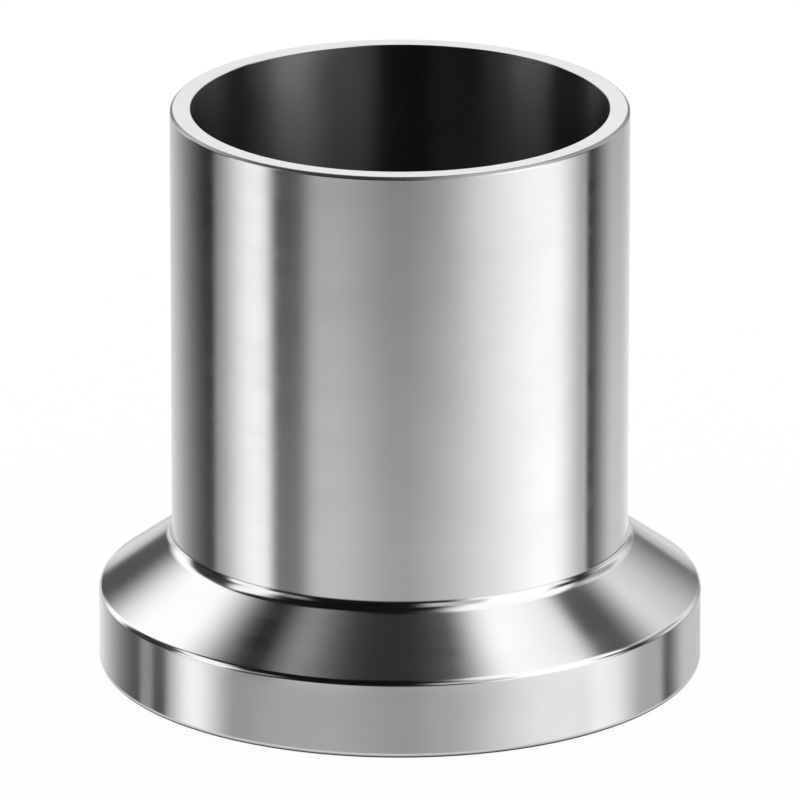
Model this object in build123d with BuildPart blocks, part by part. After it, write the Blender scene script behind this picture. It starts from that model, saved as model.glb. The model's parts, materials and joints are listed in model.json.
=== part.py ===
"""Female long ferrule: one turned piece of stainless steel for hygienic tubing.

A thin tube stands on a thick clamp flange. The tube's square end is butt-welded to a line of the same
tube. The flange's lower face is the mating face: it is female, with a round socket that takes the nose
of a male ferrule and holds a ring gasket against a flat seat round the bore. The flange's back is a cone,
so that a two-piece clamp which grips it wedges the pair of ferrules together.

The frame has its origin at the centre of the mating face and +Z along the axis, towards the weld end.
Lengths are in millimetres and angles in degrees.
"""

import os
from math import isclose, radians, tan

from build123d import *

# Tube
tube_diameter = 38.1
tube_wall = 1.7
overall_length = 48.3

# Clamp flange: a cylindrical rim with a conical back
flange_reach = 6.1  # how far the rim stands out from the tube, along a radius
rim_height = 6.7  # from the mating face up to the sharp corner of rim and cone
cone_angle = 35.8  # of the cone, up from the plane of the flange

# Socket in the mating face
lip_width = 3.7  # wall between the socket and the rim
socket_depth = 3.2

# Outside corners
neck_fillet = 1.3  # hollow corner of the tube and the cone
rim_round = 0.65  # corner of the cone and the rim
face_round = 0.75  # corner of the rim and the mating face
weld_end_chamfer = 0.2  # outer corner of the weld end

# Inside corners
weld_end_break = 0.05  # inner corner of the weld end
bore_break = 0.1  # corner of the bore and the gasket seat
socket_lead_in = 0.4  # chamfer round the socket's mouth

# What follows from the sizes
tube_radius = tube_diameter / 2
bore_radius = tube_radius - tube_wall
flange_radius = tube_radius + flange_reach
socket_radius = flange_radius - lip_width
neck_height = rim_height + flange_reach * tan(radians(cone_angle))

# The outside corners before they are rounded or chamfered, as radius and height
mating_face_corner = (flange_radius, 0)
rim_corner = (flange_radius, rim_height)
neck_corner = (tube_radius, neck_height)
weld_end_corner = (tube_radius, overall_length)


def corner_at(sketch, point):
    """The vertex of a sketch that lies nearest to a point."""
    return sketch.vertices().sort_by_distance(point)[0]


def rings_of(solid, radius):
    """The circular edges of a turned solid that have this radius, lowest first."""
    rings = solid.edges().filter_by(GeomType.CIRCLE)
    return rings.filter_by(lambda ring: isclose(ring.radius, radius, abs_tol=1e-6)).sort_by(Axis.Z)


with BuildPart() as ferrule:
    # The outside is turned from one half section
    with BuildSketch(Plane.XZ) as half_section:
        with BuildLine():
            Polyline(
                (0, 0),
                mating_face_corner,
                rim_corner,
                neck_corner,
                weld_end_corner,
                (0, overall_length),
                close=True,
            )
        make_face()
        fillet(corner_at(half_section, mating_face_corner), face_round)
        fillet(corner_at(half_section, rim_corner), rim_round)
        fillet(corner_at(half_section, neck_corner), neck_fillet)
        chamfer(corner_at(half_section, weld_end_corner), weld_end_chamfer)
    revolve(axis=Axis.Z)

    # The bore goes right through and opens out below into the female socket
    with Locations(Plane.XY.rotated((180, 0, 0))):
        CounterBoreHole(bore_radius, socket_radius, socket_depth)

    bore_start, bore_end = rings_of(ferrule, bore_radius)
    chamfer(bore_start, bore_break)
    chamfer(bore_end, weld_end_break)

    socket_mouth = rings_of(ferrule, socket_radius)[0]
    chamfer(socket_mouth, socket_lead_in)

ferrule.part.label = "ferrule"

os.makedirs("parts", exist_ok=True)
export_step(ferrule.part, "parts/ferrule.step")
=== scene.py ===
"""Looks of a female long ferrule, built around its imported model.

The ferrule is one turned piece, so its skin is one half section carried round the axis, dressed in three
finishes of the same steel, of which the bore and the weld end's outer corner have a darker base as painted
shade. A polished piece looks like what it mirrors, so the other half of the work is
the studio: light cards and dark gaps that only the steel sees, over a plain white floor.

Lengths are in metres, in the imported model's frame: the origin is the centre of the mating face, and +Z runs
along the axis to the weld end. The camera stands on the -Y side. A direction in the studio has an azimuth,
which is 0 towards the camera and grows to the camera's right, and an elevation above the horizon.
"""

import json
import logging
import math
from dataclasses import dataclass
from enum import Enum, IntEnum
from typing import Any

import bpy
import numpy as np
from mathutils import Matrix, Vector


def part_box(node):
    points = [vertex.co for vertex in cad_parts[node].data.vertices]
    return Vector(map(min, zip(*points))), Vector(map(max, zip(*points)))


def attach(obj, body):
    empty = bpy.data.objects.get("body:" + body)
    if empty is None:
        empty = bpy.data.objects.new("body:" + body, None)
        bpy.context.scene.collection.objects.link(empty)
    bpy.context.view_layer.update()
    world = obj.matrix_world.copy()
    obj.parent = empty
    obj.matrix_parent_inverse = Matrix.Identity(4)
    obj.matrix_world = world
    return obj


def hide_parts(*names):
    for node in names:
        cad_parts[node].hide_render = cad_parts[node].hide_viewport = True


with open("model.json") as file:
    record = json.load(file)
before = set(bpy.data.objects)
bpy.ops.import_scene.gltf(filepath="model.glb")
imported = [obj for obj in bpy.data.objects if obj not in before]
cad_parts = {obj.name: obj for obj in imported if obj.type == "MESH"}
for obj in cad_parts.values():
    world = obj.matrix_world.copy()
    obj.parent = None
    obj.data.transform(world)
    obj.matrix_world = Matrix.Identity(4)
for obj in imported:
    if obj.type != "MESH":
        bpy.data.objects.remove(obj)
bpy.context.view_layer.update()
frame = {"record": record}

log = logging.getLogger("ferrule")

MM = 0.001
TURNED_MAP = "turned"
QUARTER_TURN = 0.25
NOISE_LOW = 0.3  # a noise is read between these two levels
NOISE_HIGH = 0.7
# The bore's finish has a darker base, which is painted shade.
BORE_MARGIN = 0.25  # share of the weld end's inner break that still has the bore's finish
NEWTON_ROUNDS = 2


class CornerFinish(Enum):
    """How a corner of the half section is finished on the lathe."""

    KEEN = "keen"
    CHAMFER = "chamfer"
    ROUND = "round"


class SteelSlot(IntEnum):
    """Where each finish stands in the skin's list of materials."""

    OUTSIDE = 0
    BORE = 1
    EDGE = 2


class RayKind(Enum):
    """Kinds of ray, by the name of the Light Path output that tells them apart."""

    CAMERA = "Is Camera Ray"
    GLOSSY = "Is Glossy Ray"
    TRANSMISSION = "Is Transmission Ray"


class NodeBench:
    """Lays shader nodes in one node tree and joins them.

    A feed is what goes into an input: another node's output, or a plain number, vector or colour.
    """

    def __init__(self, tree: bpy.types.NodeTree) -> None:
        """Clears the node tree and keeps it."""
        tree.nodes.clear()
        self.tree = tree

    def lay(self, kind: str, feeds: dict[str | int, Any], **settings: Any) -> bpy.types.Node:
        """Lays one node and joins what feeds it.

        Args:
            kind: the node's type, without the words ShaderNode.
            feeds: what goes into each input, by the input's name or number.
            settings: the node's own settings.

        Returns:
            The new node.
        """
        node = self.tree.nodes.new("ShaderNode" + kind)
        for setting, value in settings.items():
            setattr(node, setting, value)
        for place, feed in feeds.items():
            if isinstance(feed, bpy.types.NodeSocket):
                self.tree.links.new(feed, node.inputs[place])
            else:
                node.inputs[place].default_value = feed
        return node

    def math(self, operation: str, *numbers: Any) -> bpy.types.NodeSocket:
        """Joins numbers by one operation and returns the result."""
        return self.lay("Math", dict(enumerate(numbers)), operation=operation).outputs[0]

    def ramp(
        self, value: Any, low: Any, high: Any, to_low: float = 0.0, to_high: float = 1.0
    ) -> bpy.types.NodeSocket:
        """Eases a number from one level to another while it goes from low to high.

        Args:
            value: the number that is read.
            low: where the ramp starts.
            high: where the ramp ends.
            to_low: the result up to the start.
            to_high: the result from the end on.

        Returns:
            The eased number.
        """
        feeds = {"Value": value, "From Min": low, "From Max": high, "To Min": to_low, "To Max": to_high}
        return self.lay("MapRange", feeds, interpolation_type="SMOOTHSTEP").outputs["Result"]

    def noise(self, vector: Any, scale: float, detail: float, roughness: float) -> bpy.types.NodeSocket:
        """Returns a noise over a vector, about 0.5 in the middle of its range."""
        feeds = {"Vector": vector, "Scale": scale, "Detail": detail, "Roughness": roughness}
        return self.lay("TexNoise", feeds, noise_dimensions="3D").outputs["Fac"]

    def mix_shaders(self, share: Any, first: Any, second: Any) -> bpy.types.NodeSocket:
        """Mixes two shaders: all first where the share is 0, all second where it is 1."""
        return self.lay("MixShader", {0: share, 1: first, 2: second}).outputs[0]

    def mix_numbers(self, share: Any, first: Any, second: Any) -> bpy.types.Node:
        """Lays a mix of two numbers: all first where the share is 0, all second where it is 1."""
        return self.lay("Mix", {0: share, 2: first, 3: second}, data_type="FLOAT")


@dataclass(frozen=True)
class Corner:
    """A corner of the half section, before it is finished.

    Attributes:
        radius: distance from the axis.
        height: distance above the mating face.
        finish: how the lathe finishes the corner.
        size: the round's radius, or how far the chamfer reaches along each side.
        easing: radius to which the polish rounds the chamfer's own two edges.
    """

    radius: float
    height: float
    finish: CornerFinish = CornerFinish.KEEN
    size: float = 0.0
    easing: float = 0.0


@dataclass(frozen=True)
class HalfSection:
    """The closed outline of the turned metal, on one side of the axis.

    The way round keeps the metal on its left, in a picture with the radius to the right and the height up.

    Attributes:
        corners: the corners in order.
        edge_break: radius of the tiny round that even a keen edge has.
        arc_step: largest turn between two points of an arc, in radians.
        least_steps: fewest steps that an arc is cut into.
        run_step: largest distance between two points of a straight run.
    """

    corners: tuple[Corner, ...]
    edge_break: float = 0.03 * MM
    arc_step: float = math.radians(4.0)
    least_steps: int = 3
    run_step: float = 3.0 * MM

    def finished_corners(self) -> tuple[np.ndarray, np.ndarray]:
        """Gives the corners that are left once each chamfer is cut.

        A chamfer puts two corners in place of one, its size back along the side before and its size on
        along the side after.

        Returns:
            The places as rows of radius and height, and the radius of each corner's round.
        """
        places = np.array([(corner.radius, corner.height) for corner in self.corners])
        onward = unit_rows(np.roll(places, -1, axis=0) - places)
        inward = np.roll(onward, 1, axis=0)
        cut_places = []
        rounds = []
        for corner, place, before, after in zip(self.corners, places, inward, onward):
            if corner.finish is CornerFinish.CHAMFER:
                cut_places += [place - corner.size * before, place + corner.size * after]
                rounds += [max(corner.easing, self.edge_break)] * 2
            else:
                cut_places.append(place)
                rounds.append(max(corner.size, self.edge_break))
        return np.array(cut_places), np.array(rounds)

    def trace(self) -> tuple[np.ndarray, np.ndarray, np.ndarray]:
        """Follows the outline round, with an arc at each corner.

        An arc of radius R that turns by T starts R times the tangent of T/2 before its corner. Its points
        are its centre plus R times the outward direction, which turns evenly from the side before to the
        side after. At a hollow corner the centre is outside and the sign of R changes. Straight runs are
        cut evenly.

        Returns:
            The points as rows of radius and height, the outward direction at each, and the distance along
            the outline from the first point to each, with one more for the way back to the first.
        """
        places, rounds = self.finished_corners()
        onward = unit_rows(np.roll(places, -1, axis=0) - places)
        inward = np.roll(onward, 1, axis=0)
        turns = np.arctan2(cross_rows(inward, onward), np.sum(inward * onward, axis=1))
        tangents = rounds * np.tan(np.abs(turns) / 2)
        starts = places - tangents[:, None] * inward
        ends = places + tangents[:, None] * onward
        points = []
        directions = []
        for index, turn in enumerate(turns):
            steps = max(self.least_steps, math.ceil(abs(turn) / self.arc_step))
            outward = outward_of(turned_by(inward[index], turn * np.linspace(0.0, 1.0, steps + 1)))
            signed_round = math.copysign(rounds[index], turn)
            centre = starts[index] - signed_round * outward[0]
            points.append(centre + signed_round * outward)
            directions.append(outward)
            run = starts[(index + 1) % len(turns)] - ends[index]
            cuts = math.ceil(np.hypot(*run) / self.run_step)
            shares = np.arange(1, cuts) / cuts
            points.append(ends[index] + shares[:, None] * run)
            directions.append(np.repeat(outward[-1:], len(shares), axis=0))
        outline = np.concatenate(points)
        steps_along = np.hypot(*(np.roll(outline, -1, axis=0) - outline).T)
        return outline, np.concatenate(directions), np.concatenate(([0.0], np.cumsum(steps_along)))


def unit_rows(rows: np.ndarray) -> np.ndarray:
    """Returns the rows, each divided by its own length."""
    return rows / np.linalg.norm(rows, axis=1, keepdims=True)


def cross_rows(first: np.ndarray, second: np.ndarray) -> np.ndarray:
    """Returns the flat cross product of each pair of rows, positive for a turn to the left."""
    return first[:, 0] * second[:, 1] - first[:, 1] * second[:, 0]


def turned_by(direction: np.ndarray, angles: np.ndarray) -> np.ndarray:
    """Returns one flat direction turned to the left by each angle, as rows."""
    across = np.array((-direction[1], direction[0]))
    return np.cos(angles)[:, None] * direction + np.sin(angles)[:, None] * across


def outward_of(headings: np.ndarray) -> np.ndarray:
    """Returns the directions to the right of the headings, out of the metal."""
    return np.stack((headings[:, 1], -headings[:, 0]), axis=1)


@dataclass(frozen=True)
class TurnedSteel:
    """Stainless steel, turned and then polished.

    The patterns follow the turning: they change fast along the section and slowly round the axis.

    Attributes:
        name: the material's name.
        roughness: roughness of the polish.
        roughness_spread: how far the roughness varies in bands and smears.
        axial_blur: how much more the turning lines blur along the axis than round it, from 0 to 1.
        base: how much the steel mirrors, as grey; a base below the polished steel's is painted shade.
        cloud: how far the base varies in soft clouds.
        cloud_size: size of the clouds.
        cloud_detail: how many finer layers the clouds have.
        cloud_weight: how strong each of those is beside the coarser one before it.
        smear_scale: how fine the smears are, where the turning lines are 1.
        smear_detail: how many finer layers the smears have.
        line_pitch: distance from one turning line to the next.
        line_depth: depth of the turning lines.
        line_length: distance round the axis over which a line fades into another.
        line_detail: how many finer layers the lines have.
        fine_weight: how strong each finer layer of smears and lines is beside the coarser one before it.
    """

    name: str
    roughness: float
    roughness_spread: float
    axial_blur: float = 0.0
    base: float = 0.81
    cloud: float = 0.015
    cloud_size: float = 5.0 * MM
    cloud_detail: float = 3.0
    cloud_weight: float = 0.5
    smear_scale: float = 0.15
    smear_detail: float = 4.0
    line_pitch: float = 0.3 * MM
    line_depth: float = 0.0001 * MM
    line_length: float = 12.0 * MM
    line_detail: float = 2.0
    fine_weight: float = 0.6

    def make(self) -> bpy.types.Material:
        """Makes the material.

        Returns:
            The material, whose patterns read the object's coordinates and the map laid by Ferrule.
        """
        material = bpy.data.materials.new(self.name)
        material.use_nodes = True
        bench = NodeBench(material.node_tree)
        place = bench.lay("TexCoord", {}).outputs["Object"]
        along = self._along_turning(bench, place)
        clouds = bench.noise(place, 1.0 / self.cloud_size, self.cloud_detail, self.cloud_weight)
        base = bench.ramp(clouds, NOISE_LOW, NOISE_HIGH, self.base - self.cloud, self.base + self.cloud)
        smears = bench.noise(along, self.smear_scale, self.smear_detail, self.fine_weight)
        low, high = self.roughness - self.roughness_spread, self.roughness + self.roughness_spread
        lines = bench.noise(along, 1.0, self.line_detail, self.fine_weight)
        feeds = {
            "Base Color": bench.lay("CombineColor", {"Red": base, "Green": base, "Blue": base}).outputs[0],
            "Metallic": 1.0,
            "Roughness": bench.ramp(smears, NOISE_LOW, NOISE_HIGH, low, high),
            "Normal": bench.lay("Bump", {"Height": lines, "Distance": self.line_depth}).outputs[0],
        }
        if self.axial_blur > 0.0:
            feeds["Anisotropic"] = self.axial_blur
            feeds["Anisotropic Rotation"] = QUARTER_TURN
            feeds["Tangent"] = bench.lay("Tangent", {}, direction_type="RADIAL", axis="Z").outputs[0]
        surface = bench.lay("BsdfPrincipled", feeds)
        bench.lay("OutputMaterial", {"Surface": surface.outputs[0]})
        return material

    def _along_turning(self, bench: NodeBench, place: bpy.types.NodeSocket) -> bpy.types.NodeSocket:
        """Gives coordinates that follow the turning lines.

        Args:
            bench: the bench with the material's nodes.
            place: the object's coordinates.

        Returns:
            A vector with X and Y in lengths of a line, and Z in pitches along the section.
        """
        turned = bench.lay("UVMap", {}, uv_map=TURNED_MAP).outputs[0]
        along = bench.lay("SeparateXYZ", {0: turned}).outputs["Y"]
        flat = bench.lay("SeparateXYZ", {0: place})
        feeds = {
            "X": bench.math("DIVIDE", flat.outputs["X"], self.line_length),
            "Y": bench.math("DIVIDE", flat.outputs["Y"], self.line_length),
            "Z": bench.math("DIVIDE", along, self.line_pitch / MM),
        }
        return bench.lay("CombineXYZ", feeds).outputs[0]


BRIGHT_STEEL = TurnedSteel("polished_steel", roughness=0.125, roughness_spread=0.02)
# The bore's roughness and axial blur are the turned bore's own; its base of 0.32, far below the polished
# steel's, is painted shade for the bore's dark inside.
SHADED_BORE_STEEL = TurnedSteel(
    "bore_steel_painted_shade",
    roughness=0.28,
    roughness_spread=0.0025,
    axial_blur=1.0,
    base=0.32,
    line_depth=0.00003 * MM,
)
# The corner's roughness is its own; its base of 0.48 is painted shade that dims the reflections on the weld
# end's outer corner.
SHADED_EDGE_STEEL = TurnedSteel("edge_steel_painted_shade", roughness=0.34, roughness_spread=0.02, base=0.48)


@dataclass(frozen=True)
class FerruleSizes:
    """Sizes of the ferrule.

    The first six come from the frame. The others are as in the CAD source, but for the weld end's easing,
    which only the skin has.

    Attributes:
        tube_radius: outside radius of the tube.
        bore_radius: radius of the bore.
        socket_radius: radius of the socket in the mating face.
        socket_depth: depth of that socket.
        flange_radius: radius of the clamp flange.
        length: from the mating face to the weld end.
        rim_height: from the mating face to the corner of rim and cone.
        cone_angle: slope of the flange's back, from its plane.
        socket_lead_in: chamfer round the socket's mouth.
        face_round: round of the rim and the mating face.
        rim_round: round of the cone and the rim.
        neck_fillet: hollow round of the tube and the cone.
        weld_end_chamfer: chamfer of the tube and the weld end.
        weld_end_easing: radius to which the polish rounds that chamfer's edges.
        weld_end_break: chamfer of the weld end and the bore.
        bore_break: chamfer of the bore and the gasket seat.
    """

    tube_radius: float
    bore_radius: float
    socket_radius: float
    socket_depth: float
    flange_radius: float
    length: float
    rim_height: float = 6.7 * MM
    cone_angle: float = math.radians(35.8)
    socket_lead_in: float = 0.4 * MM
    face_round: float = 0.75 * MM
    rim_round: float = 0.65 * MM
    neck_fillet: float = 1.3 * MM
    weld_end_chamfer: float = 0.2 * MM
    weld_end_easing: float = 0.13 * MM
    weld_end_break: float = 0.05 * MM
    bore_break: float = 0.1 * MM

    @classmethod
    def from_frame(cls) -> "FerruleSizes":
        """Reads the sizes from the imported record's mounts and from the solid's box.

        Returns:
            The sizes.
        """
        mounts = {mount["name"]: mount for mount in frame["record"]["mounts"]}
        lowest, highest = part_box("ferrule")
        return cls(
            tube_radius=mounts["tube_outside"]["dims"]["r_mm"] * MM,
            bore_radius=mounts["bore"]["dims"]["r_mm"] * MM,
            socket_radius=mounts["socket"]["dims"]["r_mm"] * MM,
            socket_depth=mounts["gasket_seat"]["pos_m"][2],
            flange_radius=(highest.x - lowest.x) / 2,
            length=highest.z,
        )

    def half_section(self) -> HalfSection:
        """Lays out the half section, from the socket's mouth out, up the outside, and down the inside.

        The cone rises from the rim's corner by the flange's reach times the tangent of its slope.

        Returns:
            The half section.
        """
        chamfer, rounded = CornerFinish.CHAMFER, CornerFinish.ROUND
        neck_height = self.rim_height + (self.flange_radius - self.tube_radius) * math.tan(self.cone_angle)
        return HalfSection((
            Corner(self.socket_radius, 0.0, chamfer, self.socket_lead_in),
            Corner(self.flange_radius, 0.0, rounded, self.face_round),
            Corner(self.flange_radius, self.rim_height, rounded, self.rim_round),
            Corner(self.tube_radius, neck_height, rounded, self.neck_fillet),
            Corner(self.tube_radius, self.length, chamfer, self.weld_end_chamfer, self.weld_end_easing),
            Corner(self.bore_radius, self.length, chamfer, self.weld_end_break),
            Corner(self.bore_radius, self.socket_depth, chamfer, self.bore_break),
            Corner(self.socket_radius, self.socket_depth),
        ))


@dataclass(frozen=True)
class Ferrule:
    """The ferrule: one turned skin in three finishes of the same steel, two of them darkened as painted
    shade.

    Attributes:
        sizes: its sizes.
        outside: the finish of all but the bore and the weld end's outer corner.
        bore: the finish of the bore, with its own roughness and blur and a darker base that is painted shade.
        edge: the finish of that corner, rougher, with a darker base that is painted shade.
        columns: how many faces go round the axis.
    """

    sizes: FerruleSizes
    outside: TurnedSteel = BRIGHT_STEEL
    bore: TurnedSteel = SHADED_BORE_STEEL
    edge: TurnedSteel = SHADED_EDGE_STEEL
    columns: int = 384

    def build(self) -> bpy.types.Object:
        """Builds the skin, dresses it, and puts it in the solid's place.

        Returns:
            The finished piece.
        """
        piece = bpy.data.objects.new("ferrule_skin", self._turn())
        bpy.context.scene.collection.objects.link(piece)
        for finish in (self.outside, self.bore, self.edge):
            piece.data.materials.append(finish.make())
        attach(piece, "root")
        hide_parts("ferrule")
        return piece

    def _turn(self) -> bpy.types.Mesh:
        """Carries the half section round the axis.

        The point at section point (r, z) and angle a is (r cos a, r sin a, z), and its normal is the
        section's outward direction turned in the same way. The map holds a as a share of a full turn, and
        the distance along the section in millimetres.

        Returns:
            The closed mesh.
        """
        outline, outward, along = self.sizes.half_section().trace()
        rows, columns = len(outline), self.columns
        angles = 2 * np.pi * np.arange(columns) / columns
        row, column = np.meshgrid(np.arange(rows), np.arange(columns), indexing="ij")
        next_row, next_column = (row + 1) % rows, (column + 1) % columns
        corners = np.stack((
            row * columns + column,
            row * columns + next_column,
            next_row * columns + next_column,
            next_row * columns + column,
        ), axis=-1)
        mesh = bpy.data.meshes.new("ferrule_skin")
        mesh.vertices.add(rows * columns)
        mesh.loops.add(corners.size)
        mesh.polygons.add(rows * columns)
        mesh.vertices.foreach_set("co", carried_round(outline, angles).ravel())
        mesh.loops.foreach_set("vertex_index", corners.ravel())
        mesh.polygons.foreach_set("loop_start", np.arange(0, corners.size, 4))
        mesh.polygons.foreach_set("material_index", np.repeat(self._finishes(outline), columns))
        turned = mesh.uv_layers.new(name=TURNED_MAP)
        shares = np.stack((column, column + 1, column + 1, column), axis=-1) / columns
        lengths = np.stack((along[row], along[row], along[row + 1], along[row + 1]), axis=-1) / MM
        turned.uv.foreach_set("vector", np.stack((shares, lengths), axis=-1).ravel())
        mesh.update(calc_edges=True)
        mesh.validate()
        mesh.shade_smooth()
        mesh.normals_split_custom_set_from_vertices(carried_round(outward, angles).reshape(-1, 3))
        return mesh

    def _finishes(self, outline: np.ndarray) -> np.ndarray:
        """Sorts the rows of faces by finish, by the middle of each.

        Args:
            outline: the outline's points as rows of radius and height.

        Returns:
            The slot of each row's finish.
        """
        sizes = self.sizes
        radius, height = ((outline + np.roll(outline, -1, axis=0)) / 2).T
        in_bore = radius < sizes.bore_radius + BORE_MARGIN * sizes.weld_end_break
        outer = radius > sizes.tube_radius - sizes.weld_end_chamfer
        on_corner = outer & (height > sizes.length - sizes.weld_end_chamfer)
        return (SteelSlot.BORE * in_bore + SteelSlot.EDGE * on_corner).astype(np.int32)


def carried_round(section: np.ndarray, angles: np.ndarray) -> np.ndarray:
    """Turns rows of radius and height about the axis.

    A row (r, z) at angle a becomes (r cos a, r sin a, z).

    Args:
        section: rows of radius and height.
        angles: the angles, in radians.

    Returns:
        An array of section rows by angles by three.
    """
    radius = section[:, :1]
    height = np.repeat(section[:, 1:], len(angles), axis=1)
    return np.stack((radius * np.cos(angles), radius * np.sin(angles), height), axis=-1)


@dataclass(frozen=True)
class CardEdge:
    """A straight edge of a light card, seen from the ferrule as a plane through it.

    Attributes:
        normal: direction from the edge into the card, of any length.
        softness: half the angle over which the edge fades, in degrees.
        offset: how far the plane is moved into the card, as the sine of an angle.
    """

    normal: tuple[float, float, float]
    softness: float
    offset: float = 0.0

    def mask(self, bench: NodeBench, heading: bpy.types.NodeSocket) -> bpy.types.NodeSocket:
        """Shades the card's side of the edge 1 and the other side 0.

        The heading's part along the unit normal is eased from 0 to 1 over the softness about the offset.

        Args:
            bench: the bench with the studio's nodes.
            heading: the direction that is looked in.

        Returns:
            The mask.
        """
        unit = np.array(self.normal) / np.linalg.norm(self.normal)
        feeds = {0: heading, 1: tuple(unit)}
        part = bench.lay("VectorMath", feeds, operation="DOT_PRODUCT").outputs["Value"]
        spread = math.sin(math.radians(self.softness))
        return bench.ramp(part, self.offset - spread, self.offset + spread)


def right_of(azimuth: float, softness: float) -> CardEdge:
    """Returns an upright edge with the card on its right, angles in degrees."""
    turn = math.radians(azimuth)
    return CardEdge((math.cos(turn), math.sin(turn), 0.0), softness)


def left_of(azimuth: float, softness: float) -> CardEdge:
    """Returns an upright edge with the card on its left, angles in degrees."""
    return right_of(azimuth + 180.0, softness)


def above(elevation: float, softness: float) -> CardEdge:
    """Returns a level edge with the card above it, angles in degrees."""
    return CardEdge((0.0, 0.0, 1.0), softness, math.sin(math.radians(elevation)))


def below(elevation: float, softness: float) -> CardEdge:
    """Returns a level edge with the card below it, angles in degrees."""
    return CardEdge((0.0, 0.0, -1.0), softness, -math.sin(math.radians(elevation)))


@dataclass(frozen=True)
class FootEdge:
    """An edge on the floor by the foot, which the rim shows as an upright line.

    Attributes:
        angle: where the rim shows the edge, in degrees to the right of the camera's side.
        softness: half the angle on the rim over which the edge fades, in degrees.
        side: 1 with the card on the right of the edge, -1 with the card on its left.
    """

    angle: float
    softness: float
    side: int

    def mask(self, bench: NodeBench, shown_at: bpy.types.NodeSocket) -> bpy.types.NodeSocket:
        """Shades the card's side of the edge 1 and the other side 0.

        Args:
            bench: the bench with the floor's nodes.
            shown_at: the angle at which the rim shows the place, in radians.

        Returns:
            The mask.
        """
        spread = self.side * self.softness
        return bench.ramp(shown_at, math.radians(self.angle - spread), math.radians(self.angle + spread))


def foot_from(angle: float, softness: float) -> FootEdge:
    """Returns an edge by the foot with the card on its right, angles in degrees on the rim."""
    return FootEdge(angle, softness, 1)


def foot_to(angle: float, softness: float) -> FootEdge:
    """Returns an edge by the foot with the card on its left, angles in degrees on the rim."""
    return FootEdge(angle, softness, -1)


@dataclass(frozen=True)
class LightCard:
    """A card, wall or table top of one brightness, which covers the cards before it.

    Attributes:
        name: what it is.
        level: its brightness, where 1 is white.
        edges: the edges that bound it.
    """

    name: str
    level: float
    edges: tuple[CardEdge | FootEdge, ...]


def lay_cards(
    bench: NodeBench, place: Any, ground: float, cards: tuple[LightCard, ...]
) -> bpy.types.NodeSocket:
    """Lays light cards over each other.

    A card's mask is the product of its edges' masks, and the card covers what is under it by that share.

    Args:
        bench: the bench with the nodes.
        place: the direction or angle that the edges read.
        ground: brightness where no card is.
        cards: the cards, lowest first.

    Returns:
        The brightness at each place.
    """
    level = ground
    for card in cards:
        mask = 1.0
        for card_edge in card.edges:
            mask = bench.math("MULTIPLY", mask, card_edge.mask(bench, place))
        mix = bench.mix_numbers(mask, level, card.level)
        mix.label = card.name
        level = mix.outputs[0]
    return level


def shown_on_rim(bench: NodeBench, place: bpy.types.NodeSocket) -> bpy.types.NodeSocket:
    """Finds the angle on the rim at which the camera sees a place on the floor mirrored.

    The rim is a round mirror. At the angle a from the camera's side it sends the line of sight off at 2a,
    on a line that passes the axis at the distance sin a. So it shows the place with azimuth b and radius r
    where 2a - b is the arc sine of sin a / r, which is c. That is a = b / (2 - 1 / r) for small angles, and
    from there Newton's rule takes off (2a - b - c) / (2 - cos a / (r cos c)) in each of a few rounds.

    Args:
        bench: the bench with the floor's nodes.
        place: the place on the floor, in radii of the rim.

    Returns:
        The angle, in radians.
    """
    parts = bench.lay("SeparateXYZ", {0: place}).outputs
    azimuth = bench.math("ARCTAN2", parts["X"], bench.math("MULTIPLY", parts["Y"], -1.0))
    radius = bench.lay("VectorMath", {0: place}, operation="LENGTH").outputs["Value"]
    angle = bench.math("DIVIDE", azimuth, bench.math("SUBTRACT", 2.0, bench.math("DIVIDE", 1.0, radius)))
    for _ in range(NEWTON_ROUNDS):
        bend = bench.math("ARCSINE", bench.math("DIVIDE", bench.math("SINE", angle), radius))
        aim = bench.math("SUBTRACT", bench.math("MULTIPLY", angle, 2.0), bend)
        miss = bench.math("SUBTRACT", aim, azimuth)
        depth = bench.math("MULTIPLY", radius, bench.math("COSINE", bend))
        slope = bench.math("SUBTRACT", 2.0, bench.math("DIVIDE", bench.math("COSINE", angle), depth))
        angle = bench.math("SUBTRACT", angle, bench.math("DIVIDE", miss, slope))
    return angle


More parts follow.
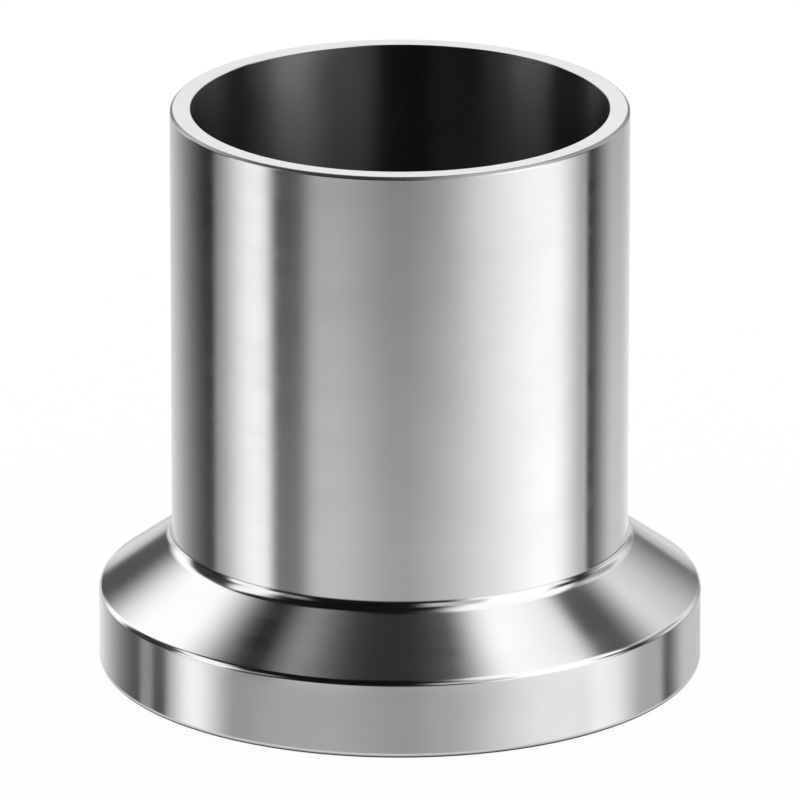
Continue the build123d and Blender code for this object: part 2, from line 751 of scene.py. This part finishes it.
CARDS = (
    LightCard("room behind", 0.09, (CardEdge((0, 1, 0), 5, 0.28), above(0, 6))),
    LightCard("ceiling", 0.05, (
        above(62, 14), CardEdge((0, 1, 0), 2, -0.04), CardEdge((0, -1, 0), 10, -0.15),
    )),
    LightCard("ceiling by the soft box", 0.08, (above(62, 5), CardEdge((1, 0, -0.11), 4))),
    LightCard("grey ceiling strip", 0.36, (
        above(66, 1.8), below(74.5, 2), right_of(-114, 5), left_of(-62, 12),
    )),
    LightCard("white wall behind", 1.0, (
        right_of(167, 8), left_of(-165, 8), above(11, 5), below(25, 5),
    )),
    LightCard("foot of the wall behind", 0.8, (
        right_of(160, 6), left_of(-148, 6), above(-16, 4), below(1, 3),
    )),
    LightCard("right back card", 0.91, (
        right_of(112, 12), left_of(152, 17), below(37.2, 5), above(-13, 2),
    )),
    LightCard("right soft box", 1.2, (
        right_of(31, 9), CardEdge((1, 0, -0.272), 5.5), CardEdge((0, -1, 0.378), 4),
    )),
    LightCard("right soft box's dim end", 0.97, (
        CardEdge((0, 1, -0.24), 7), CardEdge((1, 0, -0.265), 6), CardEdge((0, -1, 0.378), 4), above(45, 4),
    )),
    LightCard("right back card's shade", 0.4, (
        right_of(108, 5), left_of(132, 6), above(8, 3), below(26, 6),
    )),
    LightCard("gap by the right soft box", 0.03, (
        right_of(83, 4), left_of(109, 5), above(7, 2.5), below(23, 3),
    )),
    LightCard("right soft box's shade", 0.58, (
        right_of(12.5, 6), left_of(79, 6), above(5, 2), below(30, 6),
    )),
    LightCard("right window", 2.8, (right_of(50, 12), left_of(74.5, 6), above(4, 2), below(30, 6))),
    LightCard("left back soft box", 1.22, (
        CardEdge((0.387, 0.547, 0.084), 4), right_of(-147, 8), CardEdge((0, 1, -0.42), 8.5), above(-13, 5),
    )),
    LightCard("left back soft box's shade", 0.035, (
        right_of(-124, 6), left_of(-93, 4), above(4, 4), below(27, 4),
    )),
    LightCard("left strip", 1.2, (right_of(-92, 2.5), left_of(-68, 3), below(8, 2.5))),
    LightCard("left window", 1.15, (
        right_of(-80, 6), CardEdge((-0.49, 0.77, -0.40), 5), above(2, 2), below(14, 3),
    )),
    LightCard("left window's top", 1.15, (
        CardEdge((0.147, -0.85, 0.505), 3), CardEdge((-0.49, 0.77, -0.40), 5),
        above(9.5, 2.5), below(41, 2.5),
    )),
    LightCard("left room", 0.3, (right_of(-60, 7), left_of(-47, 5), above(3, 2), below(20, 4))),
    LightCard("table", 0.02, (below(-12, 4),)),
    LightCard("table front", 0.26, (below(-12, 4), right_of(-50, 7), left_of(103, 8))),
    LightCard("table front left", 0.63, (below(-14, 4), right_of(-46, 6), left_of(-15, 20))),
    LightCard("table right", 1.22, (below(-12, 5), right_of(34, 44), left_of(107, 3))),
    LightCard("table right, dim end", 0.44, (below(-12, 5), right_of(95.5, 12), left_of(107, 3))),
    LightCard("table left end", 0.35, (below(-12, 4), right_of(-107, 3), left_of(-80, 12))),
    LightCard("table under the strip", 1.25, (below(-12, 4), right_of(-91.5, 13), left_of(-68, 4.5))),
    LightCard("table back left", 0.81, (below(-14, 5), left_of(-142, 34), right_of(178, 6))),
    LightCard("table back right", 0.64, (below(-12, 4), right_of(123, 13), left_of(-176, 8))),
    LightCard("table far back right", 1.0, (below(-13, 4), right_of(163, 18), left_of(-176, 8))),
    LightCard("gap behind the table at the right", 0.03, (
        right_of(104, 4), left_of(150, 8), above(-14.3, 0.8), below(-11.5, 1.5),
    )),
    LightCard("gap behind the table at the left", 0.02, (
        right_of(-112, 4), left_of(-50, 6), above(-14.3, 0.8), below(-11, 1.5),
    )),
    LightCard("near table", 0.45, (below(-27, 5), CardEdge((0, 1, 0), 20))),
    LightCard("near table front", 0.55, (below(-22, 9), CardEdge((-0.3, -1, 0), 30, 0.35))),
)

FOOT_CARDS = (
    LightCard("foot left gap", 0.10, (foot_to(-50.5, 1.5),)),
    LightCard("foot back left", 0.88, (foot_to(-73.5, 14),)),
    LightCard("foot thin strip", 0.31, (foot_from(-59.1, 1.2), foot_to(-54.8, 1.2))),
    LightCard("foot front left", 0.45, (foot_from(-27, 6), foot_to(-7, 7))),
    LightCard("foot strip", 1.08, (foot_from(-47.5, 4), foot_to(-37.7, 5))),
    LightCard("foot front right", 0.44, (foot_from(5, 4),)),
    LightCard("foot right", 0.94, (foot_from(18.5, 11),)),
    LightCard("foot right strip", 1.07, (foot_from(39, 2), foot_to(45, 4))),
    LightCard("foot right back", 0.46, (foot_from(49, 4.5),)),
    LightCard("foot right gap", 0.11, (foot_from(60.3, 1.8),)),
    LightCard("foot far right", 0.60, (foot_from(66, 4.5),)),
    LightCard("foot right end", 0.95, (foot_from(85.5, 2),)),
)

FALL_OFF = (
    LightCard("right soft box", 0.25, (right_of(28, 12), left_of(98, 6))),
    LightCard("left strip", 0.25, (right_of(-97, 5), left_of(-68, 5))),
    LightCard("back left", 0.5, (left_of(-122, 12), right_of(178, 6))),
)


@dataclass(frozen=True)
class Studio:
    """The room round the ferrule: white for the camera, plain light for the floor, and cards for the steel.

    Attributes:
        cards: the light cards, each over those before it.
        darkness: brightness of the empty room in the steel.
        backdrop: brightness of the background.
        daylight: brightness of the plain light on matt surfaces.
    """

    cards: tuple[LightCard, ...] = CARDS
    darkness: float = 0.006
    backdrop: float = 1.0
    daylight: float = 1.0

    def build(self) -> bpy.types.World:
        """Makes the world and gives it to the scene.

        Returns:
            The world.
        """
        world = bpy.data.worlds.new("studio")
        world.use_nodes = True
        world.cycles.sampling_method = "NONE"
        bench = NodeBench(world.node_tree)
        rays = bench.lay("LightPath", {}).outputs
        matt = bench.lay("Background", {"Color": grey(self.daylight)}).outputs[0]
        seen = bench.lay("Background", {"Color": grey(self.backdrop)}).outputs[0]
        heading = bench.lay("TexCoord", {}).outputs["Generated"]
        level = lay_cards(bench, heading, self.darkness, self.cards)
        mirrored = bench.lay("Background", {"Strength": level, "Color": grey(1.0)}).outputs[0]
        lit = bench.mix_shaders(rays[RayKind.GLOSSY.value], matt, mirrored)
        plain = bench.math("MAXIMUM", rays[RayKind.CAMERA.value], rays[RayKind.TRANSMISSION.value])
        bench.lay("OutputWorld", {"Surface": bench.mix_shaders(plain, lit, seen)})
        bpy.context.scene.world = world
        return world


def grey(level: float) -> tuple[float, float, float, float]:
    """Returns an opaque grey."""
    return (level, level, level, 1.0)


@dataclass(frozen=True)
class StudioFloor:
    """The white floor that the ferrule stands on.

    For the camera it is white, and darker only where the ferrule shades it. The steel sees cards laid round
    the foot and a faint glow beyond them, painted contact shade under the rim, a dark patch of painted shade
    that closes the bore, and elsewhere the studio's table through the floor. From below the floor is clear,
    and so it is for a ray that has passed it once.

    Attributes:
        rim_radius: radius of the ferrule's rim.
        patch_radius: radius of the patch that closes the bore.
        foot_cards: the cards round the foot, each over those before it.
        foot_level: brightness round the foot where no card is.
        foot_reach: radius up to which the foot's cards lie.
        foot_fade: distance over which they end.
        reach: half the floor's width.
        drop: how far the floor lies below the mating face.
        shade: share of the floor's white that shadows can take away.
        albedo: how much of the light the matt floor sends back to other matt surfaces.
        patch_shade_level: brightness of the patch, painted shade that stands in for the shade on the floor
            under the bore.
        line_level: brightness of the floor just outside the rim.
        line_start: how far outside the rim that line starts.
        contact_shade_level: brightness under the rim, in the gap, painted contact shade.
        gap_width: distance over which it gets dark there.
        line_width: distance over which the foot's cards take over from the line.
        glow: how much of the floor's white shows in the steel near the foot.
        glow_end: radius at which the glow is gone.
        fall_off: which share of the fall-off each direction has, as cards.
        fall_off_depth: how much darker the table looks at the far end of the fall-off.
        fall_off_start: radius at which the fall-off starts.
        fall_off_end: radius at which it ends.
    """

    rim_radius: float
    patch_radius: float
    foot_cards: tuple[LightCard, ...] = FOOT_CARDS
    foot_level: float = 0.37
    foot_reach: float = 41.0 * MM
    foot_fade: float = 3.0 * MM
    reach: float = 2.0
    drop: float = 0.02 * MM
    shade: float = 0.06
    albedo: float = 0.8
    patch_shade_level: float = 0.02
    line_level: float = 0.72
    line_start: float = 0.1 * MM
    contact_shade_level: float = 0.04
    gap_width: float = 0.35 * MM
    line_width: float = 0.7 * MM
    glow: float = 0.035
    glow_end: float = 170.0 * MM
    fall_off: tuple[LightCard, ...] = FALL_OFF
    fall_off_depth: float = 0.25
    fall_off_start: float = 50.0 * MM
    fall_off_end: float = 180.0 * MM

    def build(self) -> bpy.types.Object:
        """Returns:
            The floor.
        """
        sides = np.array(((-1, -1), (1, -1), (1, 1), (-1, 1))) * self.reach
        places = np.column_stack((sides, np.full(4, -self.drop)))
        mesh = bpy.data.meshes.new("studio_floor")
        mesh.from_pydata(places.tolist(), [], [(0, 1, 2, 3)])
        mesh.materials.append(self._material())
        floor = bpy.data.objects.new("studio_floor", mesh)
        bpy.context.scene.collection.objects.link(floor)
        return floor

    def _material(self) -> bpy.types.Material:
        """Makes the floor's material, which sorts the rays by kind.

        Returns:
            The material.
        """
        material = bpy.data.materials.new("studio_floor")
        material.use_nodes = True
        material.cycles.emission_sampling = "NONE"
        bench = NodeBench(material.node_tree)
        rays = bench.lay("LightPath", {}).outputs
        clear = bench.lay("BsdfTransparent", {}).outputs[0]
        shaded = bench.lay("BsdfDiffuse", {"Color": grey(self.shade)}).outputs[0]
        white = bench.lay("Emission", {"Color": grey(1.0 - self.shade)}).outputs[0]
        seen = bench.lay("AddShader", {0: shaded, 1: white}).outputs[0]
        matt = bench.lay("BsdfDiffuse", {"Color": grey(self.albedo)}).outputs[0]
        lit = bench.mix_shaders(rays[RayKind.CAMERA.value], matt, seen)
        shown = bench.mix_shaders(rays[RayKind.GLOSSY.value], lit, self._mirrored(bench, clear))
        behind = bench.lay("NewGeometry", {}).outputs["Backfacing"]
        from_below = bench.math("MINIMUM", rays["Transparent Depth"], 1.0)
        surface = bench.mix_shaders(bench.math("MAXIMUM", behind, from_below), shown, clear)
        bench.lay("OutputMaterial", {"Surface": surface})
        return material

    def _mirrored(self, bench: NodeBench, clear: bpy.types.NodeSocket) -> bpy.types.NodeSocket:
        """Makes what the steel sees of the floor.

        From the axis outwards that is the patch of painted shade, the painted contact shade under the rim,
        the foot's cards, and the glow, which falls off smoothly.

        Args:
            bench: the bench with the material's nodes.
            clear: the shader that lets rays through.

        Returns:
            The shader for glossy rays.
        """
        place = bench.lay("TexCoord", {}).outputs["Object"]
        to_rims = {0: place, 3: 1.0 / self.rim_radius}
        in_rims = bench.lay("VectorMath", to_rims, operation="SCALE").outputs["Vector"]
        radius = bench.lay("VectorMath", {0: place}, operation="LENGTH").outputs["Value"]
        white = bench.lay("Emission", {"Color": grey(1.0)}).outputs[0]
        near = bench.ramp(radius, self.foot_reach, self.glow_end, self.glow, 0.0)
        heading = bench.lay("VectorMath", {0: place}, operation="NORMALIZE").outputs["Vector"]
        depth = bench.ramp(radius, self.fall_off_start, self.fall_off_end, 0.0, self.fall_off_depth)
        loss = bench.math("MULTIPLY", depth, lay_cards(bench, heading, 1.0, self.fall_off))
        dark = bench.lay("Emission", {"Color": grey(0.0)}).outputs[0]
        dimmed = bench.mix_shaders(loss, clear, dark)
        far_floor = bench.mix_shaders(near, dimmed, white)
        cards = lay_cards(bench, shown_on_rim(bench, in_rims), self.foot_level, self.foot_cards)
        line = self.rim_radius + self.line_start
        beyond = bench.ramp(radius, line, self.rim_radius + self.line_width)
        # Painted contact shade: under the rim the floor darkens towards the contact shade level.
        by_rim = bench.ramp(radius, self.rim_radius - self.gap_width, line, self.contact_shade_level, self.line_level)
        level = bench.mix_numbers(beyond, by_rim, cards).outputs[0]
        foot = bench.lay("Emission", {"Color": grey(1.0), "Strength": level}).outputs[0]
        past_foot = bench.ramp(radius, self.foot_reach, self.foot_reach + self.foot_fade)
        outside = bench.mix_shaders(past_foot, foot, far_floor)
        # The patch under the bore is painted shade.
        patch = bench.lay("Emission", {"Color": grey(self.patch_shade_level)}).outputs[0]
        inside = bench.math("LESS_THAN", radius, self.patch_radius)
        return bench.mix_shaders(inside, outside, patch)


@dataclass(frozen=True)
class PhotoCamera:
    """The camera, at the photograph's viewing angle.

    Attributes:
        elevation: its angle above the horizon, in radians.
        distance: from the point that it looks at.
        aim_height: height of that point on the axis.
        focal_pixels: focal length, in pixels of the picture.
        picture_side: side of the square picture, in pixels.
        sensor: side of the square sensor, in millimetres.
        nearest: distance from which on the camera sees things.
        farthest: distance up to which it sees them.
    """

    elevation: float = math.radians(18.683)
    distance: float = 1.2697
    aim_height: float = 22.75 * MM
    focal_pixels: float = 15251.0
    picture_side: float = 800.0
    sensor: float = 36.0
    nearest: float = 0.01
    farthest: float = 20.0

    def build(self) -> bpy.types.Object:
        """Sets the camera up and gives it to the scene.

        Returns:
            The camera.
        """
        data = bpy.data.cameras.new("photo_camera")
        data.sensor_width = self.sensor
        data.lens = self.sensor * self.focal_pixels / self.picture_side
        data.clip_start = self.nearest
        data.clip_end = self.farthest
        camera = bpy.data.objects.new("photo_camera", data)
        back = self.distance * math.cos(self.elevation)
        rise = self.distance * math.sin(self.elevation)
        camera.location = (0.0, -back, self.aim_height + rise)
        camera.rotation_euler = (math.pi / 2 - self.elevation, 0.0, 0.0)
        bpy.context.scene.collection.objects.link(camera)
        bpy.context.scene.camera = camera
        return camera


def main() -> None:
    """Builds the ferrule, the floor, the studio and the camera, and reports each."""
    logging.basicConfig(level=logging.INFO, format="%(name)s: %(message)s")
    bpy.context.scene.view_settings.view_transform = "Standard"
    sizes = FerruleSizes.from_frame()
    skin = Ferrule(sizes).build()
    log.info("%s: %d faces", skin.name, len(skin.data.polygons))
    floor = StudioFloor(sizes.flange_radius, sizes.socket_radius).build()
    log.info("%s: %.1f m wide", floor.name, floor.dimensions.x)
    studio = Studio()
    log.info("%s: %d cards", studio.build().name, len(studio.cards))
    camera = PhotoCamera().build()
    log.info("%s: %.1f mm lens", camera.name, camera.data.lens)


if __name__ == "__main__":
    main()
